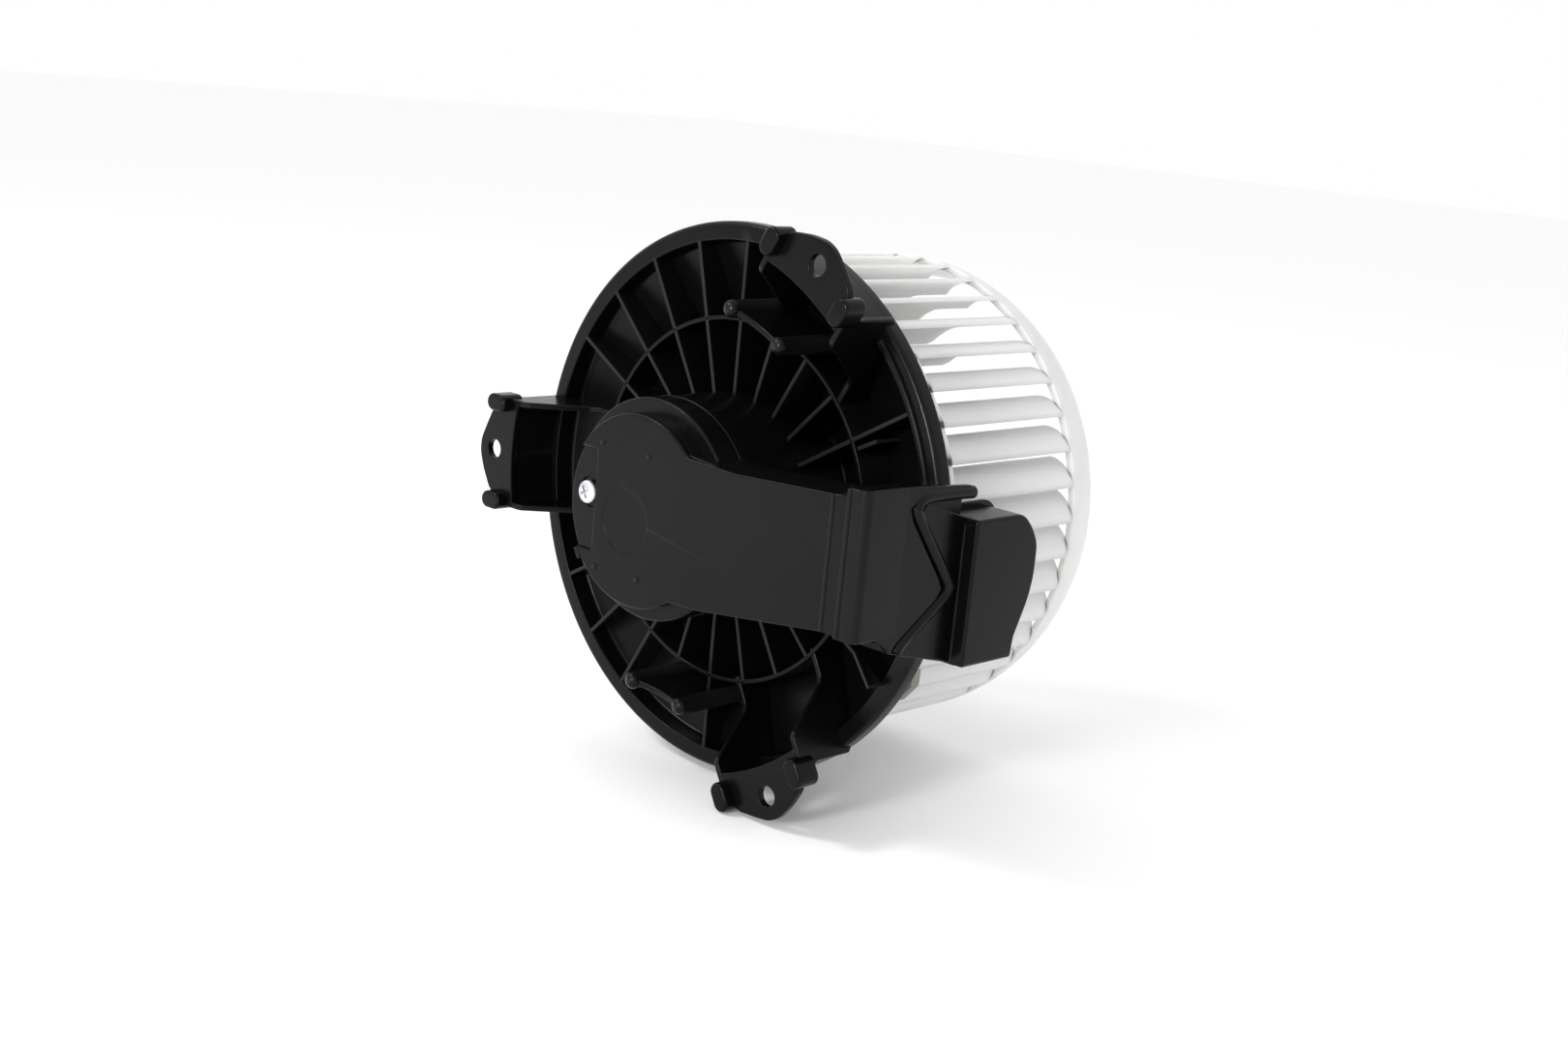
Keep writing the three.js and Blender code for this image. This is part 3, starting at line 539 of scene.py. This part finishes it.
def ear_side(side):
    outline = rounded([
        (55, 0.5, 0.5), (66, 0.2, 2.5), (80, EAR_PLATE_Y, 2.0), (93, EAR_PLATE_Y, 1.5),
        (93, EAR_PLATE_Y + EAR_PLATE, 0.5), (RIM_OUTER - 0.4, EAR_PLATE_Y + 7, 1.5),
        (RIM_OUTER - 0.4, 3, 0.3), (RIM_INNER + 1, 8, 0.3), (55, floor_y(55) + 1, 0.3),
    ], steps=5)
    middle = side * (EAR_HALF - 1)
    return plate(outline, middle - 1, middle + 1, "z", 0.5)


def ear_plate():
    inner = [polar(EAR_WALL_INNER - 0.35, a) for a in (-11.5, -8, -4, 0, 4, 8, 11.5)]
    outer = rounded([
        (92.5, 17.6, 2), (97.4, 14.2, 1.5), (101.2, 7.5, 2), (103.2, 2.2, 2.2), (103.1, -2.4, 2.2),
        (101.0, -7.0, 2), (97.4, -14.2, 1.5), (92.5, -17.6, 2),
    ], steps=5)
    hole = circle(EAR_HOLE_AT, 0, EAR_HOLE_RADIUS, 40)
    return plate(inner + outer, EAR_PLATE_Y, EAR_PLATE_Y + EAR_PLATE, "y", 0.45, [hole])


def lug(side):
    half, radius = 1.8, 3.0
    angles = [math.radians(-90 + 15 * i) for i in range(13)]
    right = [(half + radius * math.cos(a), radius * math.sin(a)) for a in angles]
    left = [(-u, -v) for u, v in right]
    outline = [(91.5 + u, side * 17.2 + v) for u, v in right + left]
    return plate(outline, -23.0, EAR_PLATE_Y + EAR_PLATE + 2.4, "y", 0.9)


def ear(degrees):
    half_angle = math.degrees(math.asin((EAR_HALF - 0.6) / RIM_OUTER))
    wall_profile = rounded([
        (EAR_WALL_INNER, EAR_PLATE_Y + 0.6, 0.4), (RIM_OUTER - 0.05, EAR_PLATE_Y + 0.6, 0.4),
        (RIM_OUTER - 0.05, 3, 0.1), (EAR_WALL_INNER, 3, 0.1),
    ], steps=3)
    wall = lathe(wall_profile, 24, -half_angle, 2 * half_angle)
    parts = [wall, ear_plate(), ear_side(1), ear_side(-1), lug(1), lug(-1)]
    return [turn(part, degrees) for part in parts]


def rim_bead():
    profile = rounded([(84.2, 0.8, 0.2), (84.2, -1.3, 0.7), (86.2, -1.3, 0.7), (86.6, 0.8, 0.2)], steps=4)
    return lathe(profile, 30, 15, 31)


def flange_stub():
    """A short cross rib between the mid ring and the rim, and a corner web beside the duct."""
    stub = plate([(61, 0), (69, 0), (69, floor_y(69) + 1), (61, floor_y(61) + 1)], -0.7, 0.7, "z", 0.3)
    web = plate([(RIM_INNER + 0.5, 0.3), (70, 0.3), (RIM_INNER + 0.5, -6)], -0.7, 0.7, "z", 0.3)
    return [turn(stub, 27), turn(web, 330)]


def make_flange():
    shells = [flange_dish(), mid_ring(), rim_bead(), *flange_stub()]
    shells += [rib(angle, RIM_INNER + 0.6) for angle in FULL_RIBS]
    shells += [rib(angle, DUCT_LEFT - 1.2) for angle in DUCT_RIBS]
    shells += [rib(angle, MID_RING) for angle in SHORT_RIBS]
    for angle in EAR_ANGLES:
        shells += ear(angle)
    for first, second in POST_PAIRS:
        shells += post_pair(first, second)
    piece("flange_moulding", joined(shells), BLACK, "motor_body", ["motor_flange"])


# ------------------------------------------------------------------ cover

def arm_edges(inset=0.0):
    top = [(12, 21.6 - inset), (42, 20.6 - inset), (81.5, 23 - inset)]
    low = [(81.5, -17.8 + inset), (31, -24.2 + inset), (12, -25 + inset)]
    return top, low


def cover_outline():
    """The disc and the arm as one outline, with the screw's flat let in at the left."""
    top, low = arm_edges()
    start = math.degrees(math.asin(21.3 / CAP_RADIUS))
    end = 360 - math.degrees(math.asin(24.9 / CAP_RADIUS))
    notch_top = 180 - math.degrees(math.asin(16.2 / CAP_RADIUS))
    notch_low = 180 + math.degrees(math.asin(16.6 / CAP_RADIUS))
    return [
        (90, 23.6), *reversed(top[1:]), *arc(CAP_RADIUS, start, notch_top, 26),
        (-19.2, 16.2), (-18.5, 15.4), (-18.5, -15.8), (-19.2, -16.6),
        *arc(CAP_RADIUS, notch_low, end, 26), *reversed(low[:2]), (90, -17.9),
    ]


def cover_floor():
    top, low = arm_edges(0.4)
    disc = arc(CAP_RADIUS - 0.35, 47, 304, 60)
    return [*reversed(top[1:]), *disc, *reversed(low[:2])]


def cover_base():
    profile = rounded([
        (0.5, CAP_STEP_Y, 0.1), (BASE_RADIUS, CAP_STEP_Y, 0.8), (BASE_RADIUS, BASE_BACK, 0.4),
        (BASE_RADIUS - WALL, BASE_BACK, 0.4), (BASE_RADIUS - WALL, CAP_STEP_Y + WALL, 0.8),
        (0.5, CAP_STEP_Y + WALL, 0.1),
    ], steps=3)
    return lathe(profile, 120)


def arm_walls():
    top, low = arm_edges(0.03)
    top_in, low_in = arm_edges(WALL)
    reach = math.sqrt((BASE_RADIUS + 0.9) ** 2 - 21 ** 2)
    upper = [(reach, 21.0), *top[1:], (90, 24), (90, 21.5), *reversed(top_in[1:]), (reach, 19.0)]
    lower_reach = math.sqrt((BASE_RADIUS + 0.9) ** 2 - 24.6 ** 2)
    lower = [(lower_reach, -24.6), (31, -24.2), low[0], (90, -18), (90, -15.7), low_in[0], (31, -22.0),
             (lower_reach, -22.2)]
    walls = [plate(rounded(shape, 0.1, 2), CAP_FRONT + 1.6, ARM_BACK, "y", 0.3) for shape in (upper, lower)]
    near_top = [(20, 21.3), (reach + 1, 21.0), (reach + 1, 19.0), (20, 19.2)]
    near_low = [(16, -24.9), (lower_reach + 1, -24.6), (lower_reach + 1, -22.4), (16, -22.7)]
    walls += [plate(shape, CAP_FRONT + 1.6, BASE_BACK, "y", 0.2) for shape in (near_top, near_low)]
    return walls


def arm_end():
    """The arm's end, which turns the corner into the end wall."""
    outline = rounded([
        (87.2, CAP_FRONT - 0.4, 0.8), (ARM_END, CAP_FRONT - 0.4, 3.6), (ARM_END, -22, 0.2),
        (ARM_END - WALL, -22, 0.2), (ARM_END - WALL, CAP_FRONT + WALL, 1.6), (87.2, CAP_FRONT + WALL, 0.4),
    ], steps=6)
    shell = plate(outline, -18.4, 26, "z", 0.5)
    side = rounded([
        (87.4, CAP_FRONT - 0.2, 0.6), (ARM_END - 0.3, CAP_FRONT, 3.5),
        (ARM_END - 0.3, -22.5, 0.3), (87.4, -22.5, 0.3),
    ], steps=6)
    caps = [plate(side, z0, z1, "z", 0.4) for z0, z1 in ((-18.2, -16.2), (23.8, 25.8))]
    return [shell, *caps]


def end_wall():
    """The tongue that reaches back over the duct and ends in a V-shaped edge."""
    edge = lip_path(-2.9)
    outline = [
        (-31, 25.9), (-31, -18.3), (-26, -20.8), *list(reversed(edge))[:-1], (6.5, 21.7),
        (6.8, 24.2), (-24, 25.9),
    ]
    return plate(rounded(outline, 0.8, 3), DUCT_RIGHT + 0.3, ARM_END - 0.04, "x", 0.4)


def lip_path(shift):
    """The V-shaped joint between the cover and the duct, moved along Y."""
    corners = [
        (7.5, 21.8), (-13, 22.0), (-17.6, 19.4), (-16.0, 15.5), (-1.2, -3.2), (0.6, -6.4),
        (-1.6, -9.4), (-18.0, -20.6), (-20.4, -23.8),
    ]
    return [(y + shift, z) for y, z in corners]


def lip_bead(shift, radius, x):
    path = smooth_path([(x, y, z) for y, z in lip_path(shift)], 6)
    return bead(path, radius)


def ridge(x, z0, z1, height, width):
    outline = rounded([
        (x - width, CAP_FRONT + 0.6, 0.1), (x - width * 0.6, CAP_FRONT - height, 0.5),
        (x + width * 0.6, CAP_FRONT - height, 0.5), (x + width, CAP_FRONT + 0.6, 0.1),
    ], steps=4)
    return plate(outline, z0, z1, "z", 0.2)


def pip(x, z):
    profile = [
        (ON_AXIS, CAP_FRONT - 0.7), (0.7, CAP_FRONT - 0.6), (1.15, CAP_FRONT - 0.1),
        (1.25, CAP_FRONT + 0.5), (ON_AXIS, CAP_FRONT + 0.5),
    ]
    return move(lathe(profile, 20), x, 0, z)


def make_cover():
    dish = circle(*DISH_AT, DISH_RADIUS, 56)
    recess = circle(*SCREW, 4.9, 36)
    disc_wall = rounded([
        (CAP_RADIUS - 0.03, CAP_FRONT + 1.4, 0.1), (CAP_RADIUS - 0.03, CAP_STEP_Y + 0.5, 0.1),
        (CAP_RADIUS - 2, CAP_STEP_Y + 0.5, 0.1), (CAP_RADIUS - 2, CAP_FRONT + 1.4, 0.1),
    ], steps=2)
    corner_pad = rounded([(-26.6, -17.2), (-24.2, -17.0), (-23.0, -20.2), (-24.6, -20.6)], 0.8)
    screw_seat = circle(*SCREW, 5.2, 36)
    shells = [
        plate(cover_outline(), CAP_FRONT, CAP_FRONT + WALL, "y", 0.6, [dish]),
        plate(circle(*DISH_AT, DISH_RADIUS + 0.6, 56), CAP_FRONT + 0.12, CAP_FRONT + 2, "y", 0.05),
        plate(cover_floor(), CAP_FRONT + 1.2, CAP_FRONT + 2.6, "y", 0.3, [recess]),
        plate(screw_seat, CAP_FRONT + 1.9, CAP_FRONT + 3, "y", 0.1, [circle(*SCREW, 2.0, 24)]),
        lathe(disc_wall, 140), cover_base(), *arm_walls(), *arm_end(), end_wall(),
        ridge(81.5, -17.6, 22.8, 0.45, 0.9), ridge(87.8, -18.2, 25.8, 0.9, 1.1),
        plate(corner_pad, CAP_FRONT - 0.2, CAP_FRONT + 1.4, "y", 0.3),
    ]
    shells += [pip(*spot) for spot in ((-16.3, 19), (4.9, 18.4), (-16.2, -21.3), (3.6, -21))]
    piece("cover_moulding", joined(shells), BLACK, "motor_body", ["motor_cover"])


# ------------------------------------------------------------------ cooling duct

def scoop_outline(inset, top=SCOOP_TOP):
    high, low, end = top - inset, SCOOP_BOTTOM + inset, SCOOP_END - inset
    return rounded([
        (SCOOP_FRONT + inset, low, 1.2), (28.6 - inset, low, 1.0), (29.3 - inset, -24, 1.5),
        (end - 1.6, -13, 3), (end, -6, 3), (end, 4.5, 6), (end - 3.0, 9.6, 4), (end - 8.2, high, 4),
        (SCOOP_FRONT + inset, high, 1.2),
    ], steps=6)


def make_duct():
    left_in, right_in = DUCT_LEFT + WALL, DUCT_RIGHT - WALL
    tube = plate(
        rectangle(DUCT_LEFT, DUCT_RIGHT, DUCT_LOW, DUCT_TOP), DUCT_FRONT, SCOOP_FRONT + 1, "y", 0.4,
        [rectangle(left_in, right_in, DUCT_LOW + WALL, DUCT_TOP - WALL)],
    )
    keel_side = rounded([
        (DUCT_FRONT + 0.5, DUCT_LOW, 0.2), (SCOOP_FRONT + 0.5, SCOOP_BOTTOM, 0.5),
        (SCOOP_FRONT + 0.5, DUCT_LOW + 1, 0.2), (DUCT_FRONT + 0.5, DUCT_LOW + 1, 0.2),
    ])
    keel = plate(keel_side, DUCT_LEFT + 0.2, DUCT_RIGHT - 0.05, "x", 0.4)
    root = plate(
        rounded(rectangle(DUCT_LEFT, SCOOP_OUTER - 3, SCOOP_BOTTOM, SCOOP_TOP), 0.6),
        SCOOP_FRONT + 0.03, SCOOP_FRONT + WALL, "y", 0.5,
        [rectangle(left_in, right_in, PASSAGE_LOW, PASSAGE_TOP)],
    )
    scoop = carve(
        plate(scoop_outline(0), SCOOP_INNER, SCOOP_OUTER, "x", 1.0),
        plate(scoop_outline(WALL), SCOOP_INNER - 4, SCOOP_OUTER - WALL, "x", 0.5),
        slab(80, right_in, 3, 8, PASSAGE_LOW, PASSAGE_TOP),
    )
    cheek_side = rounded([
        (-14.5, 17.5), (-12.6, 20.4), (6, 14.4), (6, -30.3), (-18.8, -24.8), (-16.5, -21),
        (0.6, -8.8), (1.9, -6.4), (0.2, -3.6),
    ], 0.8, 3)
    cheek = plate(cheek_side, DUCT_RIGHT - 1, ARM_END - 0.6, "x", 0.3)
    seam = plate(scoop_outline(-0.5, SCOOP_TOP + 1.2), 84.1, 85.7, "x", 0.4, [scoop_outline(WALL - 0.3)])
    seam = carve(seam, slab(80, 100, 3, 8.5, PASSAGE_LOW, PASSAGE_TOP))
    back_plate = plate(
        rectangle(41.4, DUCT_LEFT + 1, -21, 18), DUCT_FRONT, DUCT_FRONT + WALL, "y", 0.4,
    )
    block_side = rounded([(3.6, 14), (8.2, 14), (8.2, 20.4), (3.6, 21.2)], 0.8)
    top_block = plate(block_side, 84.2, 88, "x", 0.4)
    strip_x, strip_y = ARM_END + 0.5, SCOOP_FRONT + 0.12
    strip_path = smooth_path([
        (strip_x + 2.4, strip_y, 12.9), (strip_x + 0.5, strip_y, 12.2), (strip_x, strip_y, 10.2),
        (strip_x, strip_y, -10), (strip_x, strip_y, -29.6),
    ], 5)
    strip = bead(strip_path, 0.42)
    lip = lip_bead(0.9, 2.0, ARM_END - 1.1)
    shells = [tube, keel, root, scoop, cheek, seam, back_plate, top_block, strip, lip]
    piece("duct_moulding", joined(shells), BLACK, "motor_body", ["cooling_duct"])


# ------------------------------------------------------------------ screw and fan wheel

def make_cover_screw():
    head_y = CAP_FRONT - 1.3
    profile = [
        (ON_AXIS, head_y), (1.8, head_y + 0.03), (3.0, head_y + 0.3), (3.6, head_y + 0.8),
        (3.8, head_y + 1.4), (3.8, head_y + 2.0), (3.6, head_y + 2.2), (1.5, head_y + 2.2),
        (1.5, head_y + 13), (ON_AXIS, head_y + 13),
    ]
    arm_half, arm_reach = 0.42, 2.1
    low, high = head_y - 1, head_y + 1.3
    arms = [
        slab(-arm_half, arm_half, low, high, -arm_reach, arm_reach),
        slab(-arm_reach, arm_reach, low, high, -arm_half, arm_half),
    ]
    screw = carve(lathe(profile, 40), *[turn(arm, 25) for arm in arms])
    screw = move(screw, SCREW[0], 0, SCREW[1])
    piece("screw_pan_head", screw, ZINC, "motor_body", ["cover_screw"])


def blade_angle(radius):
    """The middle line bows out to one side, then curls back to the tip."""
    share = max(0.0, (radius - BLADE_INNER) / (WHEEL_OUTER - BLADE_INNER))
    return BLADE_PHASE + BLADE_BOW * share - BLADE_CURL * share * share


def square_off(distance, radius):
    """The angle that a distance square to the blade takes up at a radius."""
    step = 0.01
    slope = radius * math.radians(blade_angle(radius + step) - blade_angle(radius)) / step
    return math.degrees(distance * math.hypot(1, slope) / radius)


def blade_inner(y):
    """The blades are cut back in a curve towards the inlet."""
    share = min(1.0, max(0.0, (y - CUT_BACK_START) / CUT_BACK_LENGTH))
    return BLADE_INNER + (BLADE_INLET - BLADE_INNER) * share * share * (3 - 2 * share)


def blade_section(y):
    """The blade's outline at one height. Its tip is tucked in where it enters the ring."""
    inner = blade_inner(y)
    outer = WHEEL_OUTER - (RING_TUCK if y > RING_Y - 0.3 else 0.0)
    steps = 14
    sides = [[], []]
    for i in range(steps + 1):
        radius = inner + (outer - inner) * i / steps
        tip = min(i, steps - i) / steps
        half = BLADE_THICKNESS / 2 * (0.7 if tip == 0 else 1.0)
        for side, sign in zip(sides, (1, -1)):
            spot = polar(radius, blade_angle(radius) + square_off(sign * half, radius))
            side.append((spot[0], y, spot[1]))
    return sides[0] + sides[1][::-1]


def blade():
    """One blade, with its sections closer together along the cut-back."""
    heights = (WHEEL_NEAR + 0.4, 30, 44, 52, 55, 58, 61, 64, 67, 74, RING_Y - 0.4, RING_Y + 0.6)
    mesh = bmesh.new()
    rings = [[mesh.verts.new(spot) for spot in blade_section(y)] for y in heights]
    for a, b in zip(rings, rings[1:]):
        for j in range(len(a)):
            k = (j + 1) % len(a)
            mesh.faces.new((a[j], a[k], b[k], b[j]))
    mesh.faces.new(rings[0])
    mesh.faces.new(rings[-1][::-1])
    bmesh.ops.recalc_face_normals(mesh, faces=mesh.faces)
    return mesh


def make_wheel():
    hub = rounded([
        (WHEEL_OUTER, WHEEL_NEAR, 0.6), (WHEEL_OUTER, WHEEL_NEAR + 2.4, 0.8), (62, 22.8, 4), (50, 30.5, 6),
        (26, 49, 6), (11, 53, 2), (9, WHEEL_BORE_TOP, 0.8), (4.3, WHEEL_BORE_TOP, 0.3), (4.3, 42, 0.3),
        (9, 42, 0.4), (9, 49, 1), (25, 46.4, 5), (48.5, 28.3, 6), (61, 20.4, 4),
    ], steps=5)
    ring = rounded([
        (WHEEL_OUTER, RING_Y, 0.5), (WHEEL_OUTER - 0.5, RING_Y + 5, 3), (WHEEL_OUTER - 2.6, RING_Y + 12, 4),
        (74.0, RING_END, 1.0), (71.6, RING_END, 1.0), (WHEEL_OUTER - 4.8, RING_Y + 11.4, 4),
        (WHEEL_OUTER - 2.8, RING_Y + 4.6, 3), (WHEEL_OUTER - 2.4, RING_Y, 0.5),
    ], steps=5)
    shells = [lathe(hub, 172), lathe(ring, 172)]
    shells += [turn(blade(), 360 * i / BLADES) for i in range(BLADES)]
    piece("fan_wheel_moulding", joined(shells), WHITE, "rotor", ["fan_wheel", "wheel_hub"])


def blade_side(distance, inner, outer, steps=8):
    """Points along one side of a blade, a distance off its middle line."""
    radii = [inner + (outer - inner) * i / steps for i in range(steps + 1)]
    return [polar(radius, blade_angle(radius) + square_off(distance, radius)) for radius in radii]


def make_clip():
    """A spring-steel clip folded over the tip of one blade."""
    near_face = BLADE_THICKNESS / 2 + CLEARANCE
    far_face = near_face + CLIP_METAL
    inside, outside = WHEEL_OUTER + CLEARANCE, WHEEL_OUTER + CLEARANCE + CLIP_METAL * 0.8
    outline = [
        *blade_side(far_face, CLIP_INNER, outside), *blade_side(-far_face, CLIP_INNER, outside)[::-1],
        *blade_side(-near_face, CLIP_INNER, inside), *blade_side(near_face, CLIP_INNER, inside)[::-1],
    ]
    half = CLIP_WIDTH / 2
    clip = plate(rounded(outline, 0.12, 2), CLIP_Y - half, CLIP_Y + half, "y", 0.1)
    clip = turn(clip, 360 * CLIP_BLADE / BLADES)
    piece("balance_clip_folded", clip, SPRING_STEEL, "rotor", ["balance_clip"])


def make_nut():
    low = WHEEL_BORE_TOP + 0.3
    nut = carve(
        plate([polar(6.5, 30 + 60 * i) for i in range(6)], low, low + 3.4, "y", 0.35),
        lathe([(ON_AXIS, low - 1), (4.3, low - 1), (4.3, low + 5), (ON_AXIS, low + 5)], 36),
    )
    piece("nut_hexagon", nut, ZINC, "rotor", ["wheel_nut"])


# ------------------------------------------------------------------ room, light and camera

# Places are in metres. The camera's angles are in degrees: 0 azimuth looks along +Y.
CAMERA_AT = (0.45086, -0.46284, 0.13727)
CAMERA_AZIMUTH, CAMERA_ELEVATION, CAMERA_ROLL = 42.484, 12.457, 5.423
LENS = 46.667


def make_floor():
    data = bpy.data.meshes.new("floor")
    size = 6.0
    low = cad_box[0][2] - 0.0005
    corners = [(x, y, low) for x, y in rectangle(-size, size, -size, size)]
    data.from_pydata(corners, [], [(0, 1, 2, 3)])
    floor = bpy.data.objects.new("floor", data)
    SCENE.collection.objects.link(floor)
    n = Nodes("floor_paint")
    n.set(Base_Color=(0.96, 0.96, 0.96, 1), Roughness=0.9)
    n.shader.inputs["Specular IOR Level"].default_value = 0.1
    data.materials.append(n.material)


def make_lamp(name, place, target, size, power):
    data = bpy.data.lights.new(name, "AREA")
    data.energy = power
    data.size = size
    lamp = bpy.data.objects.new(name, data)
    lamp.location = place
    lamp.rotation_euler = (Vector(target) - Vector(place)).to_track_quat("-Z", "Y").to_euler()
    SCENE.collection.objects.link(lamp)


def make_camera():
    data = bpy.data.cameras.new("camera")
    data.lens = LENS
    data.sensor_width = 36.0
    data.clip_start = 0.01
    camera = bpy.data.objects.new("camera", data)
    around = Matrix.Rotation(math.radians(CAMERA_AZIMUTH), 4, "Z")
    down = Matrix.Rotation(math.radians(90 - CAMERA_ELEVATION), 4, "X")
    roll = Matrix.Rotation(math.radians(CAMERA_ROLL), 4, "Z")
    camera.matrix_world = Matrix.Translation(CAMERA_AT) @ around @ down @ roll
    SCENE.collection.objects.link(camera)
    SCENE.camera = camera


def make_world(strength):
    world = bpy.data.worlds.new("studio")
    world.use_nodes = True
    background = world.node_tree.nodes["Background"]
    background.inputs["Color"].default_value = (1, 1, 1, 1)
    background.inputs["Strength"].default_value = strength
    SCENE.world = world


make_camera()
make_floor()
make_world(1.0)
make_lamp("key", (-0.62, -0.7, 0.85), (0, 0, 0), size=0.25, power=6)
make_lamp("front", (0.22, -1.15, 0.28), (0, 0, 0), size=0.22, power=9)
SCENE.view_settings.view_transform = "Standard"

dress_cad_nodes()
make_flange()
make_cover()
make_duct()
make_cover_screw()
make_wheel()
make_clip()
make_nut()
